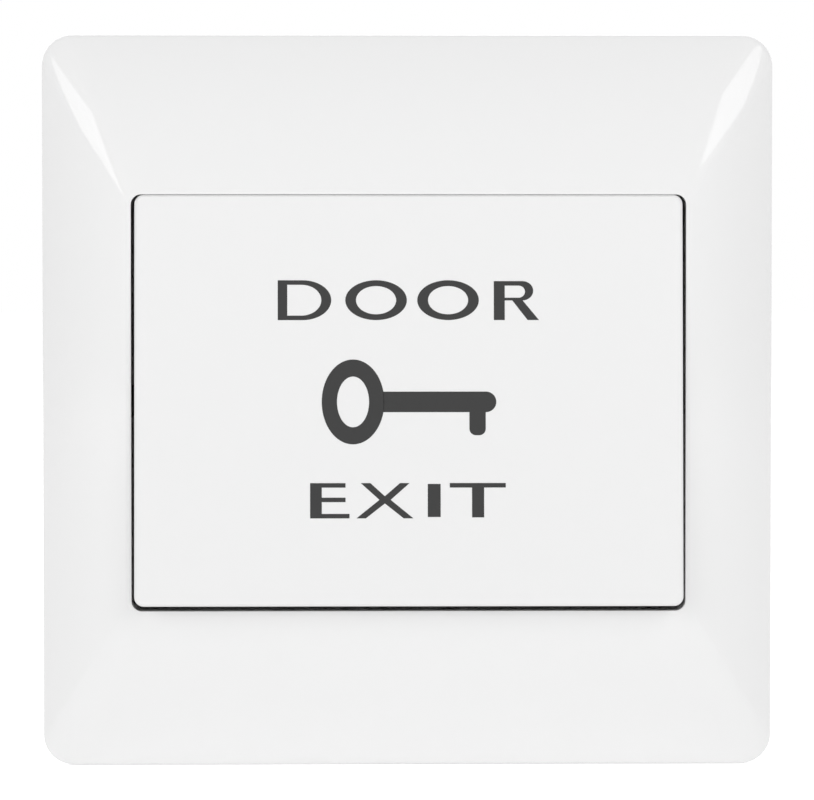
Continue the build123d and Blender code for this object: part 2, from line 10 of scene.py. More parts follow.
import bmesh
import bpy
import numpy as np
from bpy.props import FloatProperty, FloatVectorProperty, PointerProperty
from bpy.types import Operator, Panel, PropertyGroup
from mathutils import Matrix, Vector


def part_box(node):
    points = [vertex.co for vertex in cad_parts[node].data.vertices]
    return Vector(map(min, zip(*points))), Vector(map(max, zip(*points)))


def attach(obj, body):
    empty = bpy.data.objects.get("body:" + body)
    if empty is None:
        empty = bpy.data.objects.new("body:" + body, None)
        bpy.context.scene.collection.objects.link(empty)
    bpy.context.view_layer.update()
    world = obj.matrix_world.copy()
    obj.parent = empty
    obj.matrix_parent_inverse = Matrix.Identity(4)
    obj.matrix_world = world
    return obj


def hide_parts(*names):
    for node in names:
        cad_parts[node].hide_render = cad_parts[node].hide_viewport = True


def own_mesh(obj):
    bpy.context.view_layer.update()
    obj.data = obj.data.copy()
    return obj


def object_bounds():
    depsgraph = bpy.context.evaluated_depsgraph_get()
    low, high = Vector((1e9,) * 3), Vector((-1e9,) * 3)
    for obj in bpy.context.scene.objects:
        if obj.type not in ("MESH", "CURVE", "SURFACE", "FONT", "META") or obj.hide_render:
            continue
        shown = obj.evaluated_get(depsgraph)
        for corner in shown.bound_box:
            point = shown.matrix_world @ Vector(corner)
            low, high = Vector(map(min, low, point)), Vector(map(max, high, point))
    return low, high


bl_info = {
    "name": "Door Exit Button",
    "version": (1, 0, 0),
    "blender": (4, 5, 0),
    "location": "View3D > Sidebar > Exit Button",
    "description": "Finishes a door exit button and sets up its studio",
    "category": "Object",
}

MM = 0.001

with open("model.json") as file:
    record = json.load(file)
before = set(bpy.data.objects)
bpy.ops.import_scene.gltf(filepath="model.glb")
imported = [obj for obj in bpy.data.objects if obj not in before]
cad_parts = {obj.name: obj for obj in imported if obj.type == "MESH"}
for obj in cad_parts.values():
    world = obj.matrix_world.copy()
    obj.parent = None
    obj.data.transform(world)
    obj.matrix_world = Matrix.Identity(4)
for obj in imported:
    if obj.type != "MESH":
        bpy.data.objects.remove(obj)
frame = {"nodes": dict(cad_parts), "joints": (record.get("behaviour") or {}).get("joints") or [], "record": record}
nodes = frame["nodes"]
cad_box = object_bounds()
press = next(joint for joint in frame["joints"] if joint["name"] == "button_press")


def mesh_points(mesh):
    """All vertices of a mesh as an array of rows x, y, z."""
    points = np.empty(len(mesh.vertices) * 3)
    mesh.vertices.foreach_get("co", points)
    return points.reshape(-1, 3)


# The button's face at rest: it leans back by the full press angle, about the hinge axis
tilt = radians(press["range_deg"][1])
hinge = np.array(press["pos_m"])
face_out = np.array([0.0, -cos(tilt), sin(tilt)])
face_up = np.array([0.0, sin(tilt), cos(tilt)])
button_points = mesh_points(nodes["button_cap"].data) - hinge
face_level = (button_points @ face_out).max()
face_middle = ((button_points @ face_up).max() + (button_points @ face_up).min()) / 2


def face_point(x, up, level):
    """Points in space from places on the button's face: x across and up along it, both from its
    middle, and level out of it. The place is the hinge plus each amount times its direction."""
    x, up, level = np.broadcast_arrays(x, up, level)
    across = x[..., None] * np.array([1.0, 0.0, 0.0])
    along = (up[..., None] + face_middle) * face_up
    out = (level[..., None] + face_level) * face_out
    return hinge + across + along + out


def linear(srgb_hex):
    """Linear red, green and blue of an sRGB hex colour: each share is divided by 12.92 up to
    0.04045, and above it is the power 2.4 of the share plus 0.055, over 1.055."""
    srgb = np.array([int(srgb_hex[place : place + 2], 16) for place in (1, 3, 5)]) / 255
    toe = srgb / 12.92
    curve = ((srgb + 0.055) / 1.055) ** 2.4
    return tuple(float(value) for value in np.where(srgb <= 0.04045, toe, curve))


def length(label, description, millimetres):
    """A size that the sidebar shows as a length."""
    return FloatProperty(
        name=label,
        description=description,
        default=millimetres * MM,
        min=0.0,
        unit="LENGTH",
        precision=5,
    )


def colour(label, description, srgb_hex):
    """A finish colour, written as sRGB and kept as linear."""
    return FloatVectorProperty(
        name=label,
        description=description,
        subtype="COLOR",
        size=3,
        min=0.0,
        max=1.0,
        default=linear(srgb_hex),
    )


class CoverSizes(PropertyGroup):
    """Sizes of the cover and of its hooks"""

    plate_corner: length("Plate corner", "Radius of the plate's corners", 3.6)
    edge_height: length("Edge height", "Where the side turns into the crowned face", 2.6)
    crown: length("Crown", "Bulge of the crowned face halfway, above a straight slope", 1.04)
    side_border: length("Side border", "Cover beside the window", 10.75)
    end_border: length("End border", "Cover above and below the window", 18.77)
    window_corner: length("Window corner", "Radius of the window's corners", 1.2)
    land: length("Land", "Flat strip between the crowned face and the window", 0.5)
    wall: length("Wall", "Thickness of the plate's outer wall", 1.8)
    roof: length("Roof", "Thickness behind the crowned face", 2.4)
    window_wall: length("Window wall", "Thickness of the wall round the window", 1.6)
    window_depth: length("Window depth", "How far the window's wall goes back", 3.7)
    edge_softness: length("Edge softness", "Rounding of the outer edge", 0.25)
    rim_round: length("Rim round", "Rounding of the window's rim", 0.08)
    foot_round: length("Foot round", "Rounding of the hidden edges", 0.15)
    hollow_corner: length("Hollow corner", "Radius of the hollow's corners", 0.8)
    notch_width: length("Notch width", "Notch for the blade that lifts the cover", 10.0)
    notch_height: length("Notch height", "Height of that notch", 1.1)
    notch_slant: length("Notch slant", "Lean of the notch's ends, each way", 0.1)
    hook_spread: length("Hook spread", "Between the hooks across the plate", 36.0)
    hook_inner: length("Hook place", "From the middle to the hooks' inner sides", 29.2)
    hook_thickness: length("Hook thickness", "Thickness of the hooks", 1.2)
    hook_width: length("Hook width", "Width of the hooks", 8.0)
    hook_tip: length("Hook tip", "From the wall to the hooks' tips", 2.4)
    hook_length: length("Hook length", "From the hooks' tips to their roots in the cover", 4.6)
    hook_barb: length("Hook barb", "How far the barbs reach in", 0.9)
    hook_barb_height: length("Barb height", "Height of the barbs", 1.2)
    hook_barb_lead: length("Barb lead", "How far the barbs reach in at their tips", 0.3)


class MouldingSizes(PropertyGroup):
    """Edges of the other mouldings"""

    face_edge: length("Face edge", "Broken edge round the button's face", 0.1)
    edge_round: length("Edge round", "Round on the edges of the hidden mouldings", 0.12)


class PrintSizes(PropertyGroup):
    """Strokes and ink of the words and the sign"""

    ink_height: length("Ink height", "How proud the printed ink stands", 0.02)
    stem: length("Stem", "Width of the upright strokes", 1.1)
    bar: length("Bar", "Width of the level strokes", 0.52)


class FinishColours(PropertyGroup):
    """Colour of each material"""

    cover_white: colour("Cover", "Gloss ABS of the cover", "#F0F0F0")
    button_white: colour("Button", "Satin ABS of the button", "#EFEFEF")
    ink_grey: colour("Ink", "Printed words and sign", "#262626")
    base_white: colour("Base", "Matt polycarbonate of the base", "#DEDEDC")
    housing_white: colour("Housing", "Nylon of the switch housing", "#D6D6D0")
    acetal: colour("Plunger", "Natural acetal of the plunger", "#E0DCCB")
    spring_steel: colour("Spring", "Drawn stainless wire", "#A9A9A6")
    silver: colour("Contacts", "Silver alloy of the contacts", "#E4E1DA")
    brass: colour("Strips", "Rolled brass of the strips", "#C9A35A")
    bronze: colour("Bridge", "Rolled phosphor bronze of the bridge", "#B9825A")
    zinc: colour("Screws", "Bright zinc plate of the screws", "#B9BABA")


class StudioSettings(PropertyGroup):
    """Camera and light levels"""

    camera_distance: FloatProperty(
        name="Camera distance",
        description="From the plate to the camera",
        default=0.515,
        unit="LENGTH",
    )
    camera_elevation: FloatProperty(
        name="Camera elevation",
        description="How far above level the camera looks from",
        default=radians(2.17),
        subtype="ANGLE",
    )
    camera_bearing: FloatProperty(
        name="Camera bearing",
        description="How far to the right of the front the camera looks from",
        default=radians(-1.0),
        subtype="ANGLE",
    )
    plate_pixels: FloatProperty(
        name="Plate in pixels",
        description="Width of the plate in an image as wide as the photograph",
        default=729.9,
    )
    surround_level: FloatProperty(
        name="Surround level",
        description="Strength of the even light from all round",
        default=0.49,
    )
    floor_glow: FloatProperty(
        name="Floor glow",
        description="Radiance that the floor adds from below",
        default=0.13,
    )
    fill_level: FloatProperty(
        name="Fill level",
        description="Radiance of the two low lights that reflections don't show",
        default=0.71,
    )
    rear_level: FloatProperty(
        name="Rear level",
        description="Radiance of the panel that lights the back",
        default=0.8,
    )
    panel_level: FloatProperty(
        name="Panel level",
        description="Radiance of the two panels that the upper corners reflect",
        default=1.94,
    )


# Mesh helpers


def mesh_piece(name, points, faces, smooth=True):
    """A new piece from an array of points and a list of faces, turned inside out if its volume,
    a sixth of the triple products summed over its triangles, comes out negative."""
    mesh = bpy.data.meshes.new(name)
    mesh.from_pydata(np.asarray(points).tolist(), [], faces)
    mesh.validate()
    mesh.calc_loop_triangles()
    corners = np.empty(len(mesh.loop_triangles) * 3, dtype=int)
    mesh.loop_triangles.foreach_get("vertices", corners)
    a, b, c = np.asarray(points)[corners.reshape(-1, 3)].transpose(1, 0, 2)
    if np.einsum("ij,ij->i", a, np.cross(b, c)).sum() < 0:
        mesh.flip_normals()
    mesh.polygons.foreach_set("use_smooth", [smooth] * len(mesh.polygons))
    piece = bpy.data.objects.new(name, mesh)
    bpy.context.scene.collection.objects.link(piece)
    return piece


def grid_faces(rows, columns, close_rows):
    """Quads between neighbouring points of a grid whose points are numbered row by row. The last
    column always meets the first, and the last row does where close_rows says so."""
    row = np.arange(rows if close_rows else rows - 1)[:, None]
    column = np.arange(columns)[None, :]
    next_row = (row + 1) % rows
    next_column = (column + 1) % columns
    corners = (
        row * columns + column,
        row * columns + next_column,
        next_row * columns + next_column,
        next_row * columns + column,
    )
    return np.stack(np.broadcast_arrays(*corners), axis=-1).reshape(-1, 4).tolist()


def joined(shapes):
    """Points and faces of several shapes as one, numbered one after another."""
    points, faces, start = [], [], 0
    for shape_points, shape_faces in shapes:
        points.append(shape_points)
        faces += [[index + start for index in face] for face in shape_faces]
        start += len(shape_points)
    return np.concatenate(points), faces


def finish_piece(piece, body, material, slot, *replaced):
    """Gives a piece its material and its body, and hides the CAD nodes it stands for."""
    piece.data.materials.clear()
    piece.data.materials.append(material)
    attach(piece, body)
    if replaced:
        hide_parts(*replaced)


# Materials


def add_node(tree, kind, links=None, **settings):
    """Adds one node. A setting goes to the socket of that name, or else to the node's own
    property, and links join other nodes' outputs to this node's inputs."""
    node = tree.nodes.new(kind)
    for name, value in settings.items():
        socket = name.replace("_", " ").title()
        if socket in node.inputs:
            node.inputs[socket].default_value = value
        else:
            setattr(node, name, value)
    for place, output in (links or {}).items():
        tree.links.new(output, node.inputs[place])
    return node


def new_material(name, sockets):
    """A material, its node tree and its surface shader. The sockets hold what is the same all
    over."""
    material = bpy.data.materials.new(name)
    material.use_nodes = True
    tree = material.node_tree
    shader = tree.nodes["Principled BSDF"]
    for place, value in sockets.items():
        shader.inputs[place].default_value = value
    return material, tree, shader


def vary(tree, place, size, low, high, detail=2.0):
    """A noise with features of this size in metres, spread between a low and a high value. The
    noise itself seldom leaves 0.2 to 0.8, so that range is the one that is spread."""
    noise = add_node(
        tree, "ShaderNodeTexNoise", {"Vector": place}, scale=1 / size, detail=detail
    )
    spread = add_node(
        tree,
        "ShaderNodeMapRange",
        {"Value": noise.outputs["Fac"]},
        from_min=0.2,
        from_max=0.8,
        to_min=low,
        to_max=high,
    )
    return spread.outputs["Result"]


def tint(tree, place, size, base, depth):
    """The base colour, darkened here and there by up to this share, over patches of this size."""
    shade = vary(tree, place, size, 1 - depth, 1.0)
    mixed = add_node(tree, "ShaderNodeMix", {"Factor": shade}, data_type="RGBA")
    mixed.inputs["A"].default_value = (0.0, 0.0, 0.0, 1.0)
    mixed.inputs["B"].default_value = (*base, 1.0)
    return mixed.outputs["Result"]


def surface(name, base, clouds, patches, sockets, grain=None, stretch=None):
    """A material on Object coordinates. Clouds give the size and the share of its darker places,
    and patches the size of its rougher ones and its lowest and highest roughness. A grain gives
    its size, its detail, its strength and its height. A stretch draws the patches and the grain
    out along the axes whose share is under one."""
    material, tree, shader = new_material(name, sockets)
    place = add_node(tree, "ShaderNodeTexCoord").outputs["Object"]
    cloud_size, share = clouds
    tree.links.new(tint(tree, place, cloud_size, tuple(base), share), shader.inputs["Base Color"])
    if stretch:
        mapping = add_node(tree, "ShaderNodeMapping", {"Vector": place}, scale=stretch)
        place = mapping.outputs["Vector"]
    patch_size, smoothest, roughest = patches
    roughness = vary(tree, place, patch_size, smoothest, roughest)
    tree.links.new(roughness, shader.inputs["Roughness"])
    if grain:
        grain_size, detail, strength, height = grain
        bump = add_node(
            tree,
            "ShaderNodeBump",
            {"Height": vary(tree, place, grain_size, 0.0, 1.0, detail)},
            strength=strength,
            distance=height,
        )
        tree.links.new(bump.outputs["Normal"], shader.inputs["Normal"])
    return material


def gloss_abs(colours):
    """Gloss ABS from a polished mould: a smooth skin with a very shallow ripple."""
    return surface(
        "gloss_moulded_abs",
        colours.cover_white,
        clouds=(14 * MM, 0.002),
        patches=(6 * MM, 0.05, 0.08),
        grain=(5 * MM, 2.0, 0.25, 0.004 * MM),
        sockets={"IOR": 1.53},
    )


def satin_abs(colours):
    """Satin ABS from a lightly spark-eroded mould: a fine even grain that spreads reflections.
    The real grain is about 0.05 mm, and it is drawn at 0.25 mm so that it shows."""
    return surface(
        "satin_moulded_abs",
        colours.button_white,
        clouds=(9 * MM, 0.002),
        patches=(4 * MM, 0.29, 0.31),
        grain=(0.25 * MM, 2.0, 0.15, 0.002 * MM),
        sockets={"IOR": 1.53},
    )


def matt_plastic(name, base, roughness, grain_size, ior):
    """A filled plastic from an eroded mould: dull, with a grain and a faint cloudiness."""
    return surface(
        name,
        base,
        clouds=(5 * MM, 0.03),
        patches=(3 * MM, roughness - 0.04, roughness + 0.04),
        grain=(grain_size, 4.0, 0.4, 0.008 * MM),
        sockets={"IOR": ior},
    )


def printed_ink(colours):
    """Pad-printed epoxy ink: a thin even film, a little duller than the plastic under it."""
    return surface(
        "pad_printed_ink",
        colours.ink_grey,
        clouds=(1.2 * MM, 0.08),
        patches=(0.6 * MM, 0.42, 0.52),
        sockets={"IOR": 1.5},
    )


def drawn_wire(colours):
    """Drawn stainless wire: the die leaves fine lines and a dull shine."""
    return surface(
        "drawn_stainless_wire",
        colours.spring_steel,
        clouds=(0.5 * MM, 0.12),
        patches=(0.2 * MM, 0.26, 0.4),
        sockets={"Metallic": 1.0},
    )


def rolled_sheet(name, base, smoothest, roughest):
    """Sheet rolled and stamped: rolling leaves faint lines along X, drawn 0.1 mm apart."""
    return surface(
        name,
        base,
        clouds=(2 * MM, 0.1),
        patches=(0.1 * MM, smoothest, roughest),
        grain=(0.1 * MM, 2.0, 0.3, 0.003 * MM),
        stretch=(0.05, 1.0, 1.0),
        sockets={"Metallic": 1.0},
    )


def plated_steel(colours):
    """Cold-headed steel, zinc plated and passivated: bright, with a slightly cloudy film."""
    return surface(
        "zinc_plated_steel",
        colours.zinc,
        clouds=(0.8 * MM, 0.15),
        patches=(0.5 * MM, 0.22, 0.36),
        sockets={"Metallic": 1.0},
    )


# The cover


def arc_half(height, outer, inner, low, middle, high):
    """Half width of a crowned section at a height: the outer side of the circle through its
    edge, the point halfway in and its rim, from the circle's centre and Pythagoras."""
    x = np.array([outer, (outer + inner) / 2, inner])
    y = np.array([low, middle, high])
    matrix = 2 * np.array([[x[1] - x[0], y[1] - y[0]], [x[2] - x[0], y[2] - y[0]]])
    squares = x**2 + y**2
    centre = np.linalg.solve(matrix, squares[1:] - squares[0])
    radius = np.hypot(x[0] - centre[0], y[0] - centre[1])
    return centre[0] + np.sqrt(radius**2 - (height - centre[1]) ** 2)


def soft_positive(value, softness):
    """The value where it is positive and nothing where it is negative, with a soft turn: half
    of the value plus the root of its square and the softness squared."""
    return (value + np.sqrt(value**2 + softness**2)) / 2


def rounded_outline(half_width, half_height, radius, corner_steps, side_shares, cut):
    """Rows of rounded rectangles as arrays x and z, one row for each half width. Each corner is a
    quarter circle about the point one radius in from both sides, the sides are shares of the way
    from arc to arc, and the lower side has points at the places across that cut gives."""
    a, b, r = (np.asarray(value)[:, None] for value in (half_width, half_height, radius))
    turns = np.linspace(0, pi / 2, corner_steps)[None, :]
    xs, zs = [], []
    for sign_x, sign_z, start in ((1, -1, -pi / 2), (1, 1, 0.0), (-1, 1, pi / 2), (-1, -1, pi)):
        xs.append(sign_x * (a - r) + r * np.cos(start + turns))
        zs.append(sign_z * (b - r) + r * np.sin(start + turns))
    x_parts, z_parts = [], []
    for corner in range(4):
        x_parts.append(xs[corner])
        z_parts.append(zs[corner])
        if corner < 3:
            for parts, values in ((x_parts, xs), (z_parts, zs)):
                first, last = values[corner][:, -1:], values[corner + 1][:, :1]
                parts.append(first + (last - first) * side_shares)
    x_parts.append(np.broadcast_to(cut, (len(a), len(cut))))
    z_parts.append(np.broadcast_to(-b, (len(a), len(cut))))
    return np.concatenate(x_parts, axis=1), np.concatenate(z_parts, axis=1)


def quarter(radius, steps):
    """Sine and one minus cosine of a quarter turn, times the radius, as columns of steps."""
    turn = np.linspace(0, pi / 2, steps)
    return np.stack([radius * np.sin(turn), radius * (1 - np.cos(turn))], axis=1)


def cover_rows(sizes):
    """The cover's closed section as rows of half width, half height, corner radius and height:
    up the side, in over the crown, down the window, and back through the hollow."""
    low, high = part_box("frame_cover")
    plate, rim, foot = high.x, -low.y, -high.y
    window_w = plate - sizes.side_border
    window_h = plate - sizes.end_border
    rim_w, rim_h = window_w + sizes.land, window_h + sizes.land
    middle = (sizes.edge_height + rim) / 2 + sizes.crown
    rows = []

    def add(half_width, half_height, radius, height):
        values = np.broadcast_arrays(half_width, half_height, radius, height)
        rows.append(np.stack([np.atleast_1d(value) for value in values], axis=1))

    # Side and crowned face, with finer steps round the turn between them and near the rim
    side_steps, turn_steps, face_steps, crowding = 4, 22, 40, 1.6
    step = 0.1 * MM
    turn_start = sizes.edge_height - 6 * step
    turn_end = sizes.edge_height + 9 * step
    heights = np.concatenate(
        [
            np.linspace(foot + sizes.foot_round, turn_start - step, side_steps),
            np.linspace(turn_start, turn_end, turn_steps),
            rim - (rim - turn_end - step) * np.linspace(1, 0, face_steps) ** crowding,
        ]
    )
    arc = (sizes.edge_height, middle, rim)
    in_w = soft_positive(plate - arc_half(heights, plate, rim_w, *arc), sizes.edge_softness)
    in_h = soft_positive(plate - arc_half(heights, plate, rim_h, *arc), sizes.edge_softness)
    share = np.clip(in_w / (plate - rim_w), 0, 1)
    inner_corner = sizes.window_corner + sizes.land
    corner = sizes.plate_corner + (inner_corner - sizes.plate_corner) * share
    add(plate - in_w, plate - in_h, corner, heights)

    # Rim, down the window's wall, round its foot and up behind it
    turn_in = quarter(sizes.rim_round, 6)
    out = sizes.rim_round - turn_in[:, 0]
    add(window_w + out, window_h + out, sizes.window_corner + out, rim - turn_in[:, 1])
    sill = rim - sizes.window_depth
    small = sizes.foot_round
    add(window_w, window_h, sizes.window_corner, [rim - 5 * step, sill + small * 2])
    along, off = quarter(small, 4).T
    add(window_w + off, window_h + off, sizes.window_corner + off, sill + small - along)
    wall_w, wall_h = window_w + sizes.window_wall, window_h + sizes.window_wall
    wall_corner = sizes.window_corner + sizes.window_wall
    back = along - small
    add(wall_w + back, wall_h + back, wall_corner + back, sill + off)

    # Hollow behind the crowned face in three flat steps, and down the plate's wall. The roof is
    # parallel to the face, whose bulge is four crowns times the inset share times the rest of it
    hollow, corner = plate - sizes.wall, sizes.hollow_corner
    steps = np.linspace(1, 0, 4)
    hollow_w = hollow + (wall_w - hollow) * steps
    hollow_h = hollow + (wall_h - hollow) * steps
    inset = (plate - hollow_w) / (plate - rim_w)
    slope = sizes.edge_height + (rim - sizes.edge_height) * inset
    roof = slope + 4 * sizes.crown * inset * (1 - inset) - sizes.roof
    add(hollow_w, hollow_h, wall_corner * steps + corner * (1 - steps), roof)
    add(hollow, hollow, corner, foot + small * 2)
    add(hollow + off, hollow + off, corner + off, foot + small - along)
    # The foot's outer edge four times over, so that the flat foot shades apart from its round
    add(plate - small, plate - small, sizes.plate_corner - small, [foot] * 3)
    add(plate + back, plate + back, sizes.plate_corner + back, foot + off)

    # The last row is left out, because the first one closes the section
    return np.concatenate(rows)[:-1], foot


def build_cover(sizes):
    """The cover as one closed surface: the section's rows carried round rounded rectangles. Points
    at the foot of the lower side rise by the notch's height between its two ends."""
    rows, foot = cover_rows(sizes)
    half_width, half_height, corner = rows[:, :3].T
    inner = sizes.notch_width / 2 - sizes.notch_slant
    outer = sizes.notch_width / 2 + sizes.notch_slant
    cut = np.array([-outer, -inner, inner, outer])
    corner_steps, side_steps = 15, 10
    shares = np.linspace(0, 1, side_steps)[1:-1]
    x, z = rounded_outline(half_width, half_height, corner, corner_steps, shares, cut)
    height = np.repeat(rows[:, 3:4], x.shape[1], axis=1)
    at_foot = rows[:, 3] < foot + 3 * sizes.foot_round
    height[np.ix_(at_foot, [-3, -2])] += sizes.notch_height
    points = np.stack([x, -height, z], axis=-1).reshape(-1, 3)
    shell = points, grid_faces(*x.shape, close_rows=True)
    return mesh_piece("cover_shell", *joined([shell, *cover_hooks(sizes)]))


def cover_hooks(sizes):
    """The four hooks that hold the cover, as closed prisms: one profile of height and place up
    the plate, carried across a hook's width. Those below are those above turned by half a turn."""
    inner, outer = sizes.hook_inner, sizes.hook_inner + sizes.hook_thickness
    tip, shoulder = sizes.hook_tip, sizes.hook_tip + sizes.hook_barb_height
    root = sizes.hook_tip + sizes.hook_length
    profile = np.array(
        [
            (tip, outer),
            (root, outer),
            (root, inner),
            (shoulder, inner),
            (shoulder, inner - sizes.hook_barb),
            (tip, inner - sizes.hook_barb_lead),
        ]
    )
    count = len(profile)
    faces = grid_faces(2, count, close_rows=False)
    faces += [list(range(count))[::-1], list(range(count, 2 * count))]
    hooks = []
    for side in (1, -1):
        for middle in (-sizes.hook_spread / 2, sizes.hook_spread / 2):
            ends = middle + sizes.hook_width / 2 * np.array([[-1.0], [1.0]])
            x, height, z = np.broadcast_arrays(ends, profile[:, 0], profile[:, 1])
            hooks.append((np.stack([side * x, -height, side * z], axis=-1).reshape(-1, 3), faces))
    return hooks


class EXITBUTTON_OT_cover(Operator):
    """Build the crowned cover as one smooth shell"""

    bl_idname = "exit_button.cover"
    bl_label = "Cover"

    def execute(self, context):
        scene = context.scene
        cover = build_cover(scene.cover_sizes)
        finish_piece(
            cover, "wall_unit", gloss_abs(scene.finish_colours), "cover_plastic", "frame_cover"
        )
        return {"FINISHED"}


# The moulded parts


# Points nearer than MERGE become one, faces that turn by less than FLAT become one, and an edge
# that turns by more than SHARP stays an edge
MERGE = 0.002 * MM
FLAT = radians(0.5)
SHARP = radians(32)


def merged_copy(name, new_name):
    """A copy of a CAD node whose triangles share their corners. Flat faces are joined, so that
    an edge runs whole from corner to corner."""
    shape = bmesh.new()
    shape.from_mesh(nodes[name].data)
    bmesh.ops.remove_doubles(shape, verts=shape.verts, dist=MERGE)
    bmesh.ops.dissolve_limit(shape, angle_limit=FLAT, verts=shape.verts, edges=shape.edges)
    for edge in shape.edges:
        edge.smooth = edge.calc_face_angle(0.0) < SHARP
    mesh = bpy.data.meshes.new(new_name)
    shape.to_mesh(mesh)
    shape.free()
    # The normals that came with the triangles don't fit the joined faces
    mesh.attributes.remove(mesh.attributes["custom_normal"])
    mesh.polygons.foreach_set("use_smooth", [True] * len(mesh.polygons))
    piece = bpy.data.objects.new(new_name, mesh)
    bpy.context.scene.collection.objects.link(piece)
    return piece


def soften_edges(name, width):
    """A copy of a CAD node whose sharp edges are broken by a narrow round, as a mould leaves
    them."""
    piece = merged_copy(name, name + "_moulded")
    bevel = piece.modifiers.new("edge_round", "BEVEL")
    bevel.width = width
    bevel.segments = 2
    bevel.limit_method = "ANGLE"
    bevel.angle_limit = SHARP
    bevel.use_clamp_overlap = True
    level = piece.modifiers.new("flat_faces_stay_flat", "WEIGHTED_NORMAL")
    level.keep_sharp = True
    return piece


def build_button(edge):
    """A copy of the CAD button with a finer edge round its face. The two highest levels are the
    face's outline and the wall below it, one chamfer apart. Points of the outline go outwards,
    each towards the nearest point of the wall, by the share of the chamfer that is taken back,
    and those of the wall come forward by that share of its depth."""
    piece = merged_copy("button_cap", "button_moulded")
    mesh = piece.data
    points = mesh_points(mesh)
    out = (points - hinge) @ face_out
    levels = np.unique(out.round(5))
    chamfer = levels[-1] - levels[-2]
    share = 1 - edge / chamfer
    outline = np.flatnonzero(out > face_level - chamfer / 2)
    wall = np.flatnonzero(abs(out - (face_level - chamfer)) < chamfer / 10)
    flat = np.stack([points[:, 0], (points - hinge) @ face_up], axis=1)
    apart = np.linalg.norm(flat[outline][:, None] - flat[wall][None, :], axis=2)
    shift = share * (flat[wall[apart.argmin(axis=1)]] - flat[outline])
    points[outline, 0] += shift[:, 0]
    points[outline] += shift[:, 1:] * face_up
    points[wall] += share * chamfer * face_out
    mesh.vertices.foreach_set("co", points.ravel())
    mesh.update()
    return piece


class EXITBUTTON_OT_mouldings(Operator):
    """Finish the button, the base, the housing, its lid and the plunger"""

    bl_idname = "exit_button.mouldings"
    bl_label = "Mouldings"

    def execute(self, context):
        colours = context.scene.finish_colours
        sizes = context.scene.moulding_sizes
        satin = satin_abs(colours)
        # Each plastic's roughness, size of grain and index of refraction
        base = matt_plastic("matt_moulded_polycarbonate", colours.base_white, 0.5, 0.4 * MM, 1.58)
        nylon = matt_plastic("moulded_nylon", colours.housing_white, 0.55, 0.3 * MM, 1.53)
        acetal = matt_plastic("moulded_acetal", colours.acetal, 0.38, 0.6 * MM, 1.48)
        button = build_button(sizes.face_edge)
        finish_piece(button, "button", satin, "button_plastic", "button_cap")
        for node, body, material, slot in (
            ("mounting_base", "wall_unit", base, "base_plastic"),
            ("switch_housing", "wall_unit", nylon, "housing_plastic"),
            ("housing_lid", "wall_unit", nylon, "housing_plastic"),
            ("plunger", "plunger", acetal, "plunger_plastic"),
        ):
            finish_piece(soften_edges(node, sizes.edge_round), body, material, slot, node)
        return {"FINISHED"}


# The metalwork


def dress_node(name, material):
    """Gives a CAD node a better material and leaves its mesh as it is."""
    for slot in nodes[name].material_slots:
        slot.material = material


class EXITBUTTON_OT_metalwork(Operator):
    """Finish the bridge, the contacts, the strips, the clamps and the screws"""

    bl_idname = "exit_button.metalwork"
    bl_label = "Metalwork"

    def execute(self, context):
        colours = context.scene.finish_colours
        brass = rolled_sheet("rolled_brass", colours.brass, 0.22, 0.34)
        bronze = rolled_sheet("rolled_bronze", colours.bronze, 0.26, 0.38)
        silver = rolled_sheet("rolled_silver_alloy", colours.silver, 0.2, 0.3)
        zinc = plated_steel(colours)
        dress_node("contact_bridge", bronze)
        for side in ("left", "right"):
            dress_node("contact_strip_" + side, brass)
            dress_node("moving_contact_" + side, silver)
            dress_node("fixed_contact_" + side, silver)
            dress_node("terminal_clamp_" + side, zinc)
            dress_node("terminal_screw_" + side, zinc)
        for place in ("upper", "lower"):
            dress_node("case_screw_" + place, zinc)
        return {"FINISHED"}


# The springs


def build_spring(name, node, turns, wire):
    """A compression spring in its CAD node's box: a wire of round section carried along a helix
    about Y. It rises by one wire's thickness over the first and the last turn, as closed ends
    do, and evenly between them."""
    low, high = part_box(node)
    centre = (low + high) / 2
    radius = (high.x - low.x) / 2 - wire / 2
    run = (high.y - low.y) - wire
    steps_per_turn, wire_sides = 40, 12
    count = np.linspace(0, turns, steps_per_turn * turns + 1)
    angle = 2 * pi * count
    rise = np.interp(count, [0, 1, turns - 1, turns], [0, wire, run - wire, run])
    path = np.stack(
        [
            centre.x + radius * np.cos(angle),
            high.y - wire / 2 - rise,
            centre.z + radius * np.sin(angle),
        ],
        axis=1,
    )
    along = np.gradient(path, axis=0)
    along /= np.linalg.norm(along, axis=1, keepdims=True)
    out = np.stack([np.cos(angle), 0 * angle, np.sin(angle)], axis=1)
    out -= (out * along).sum(axis=1, keepdims=True) * along
    out /= np.linalg.norm(out, axis=1, keepdims=True)
    up = np.cross(along, out)
    turn = np.linspace(0, 2 * pi, wire_sides, endpoint=False)
    ring = wire / 2 * (np.cos(turn)[:, None, None] * out + np.sin(turn)[:, None, None] * up)
    points = (path + ring).transpose(1, 0, 2).reshape(-1, 3)
    faces = grid_faces(len(path), wire_sides, close_rows=False)
    last = len(points) - wire_sides
    faces += [list(range(wire_sides)), list(range(last, len(points)))]
    return mesh_piece(name, points, faces)


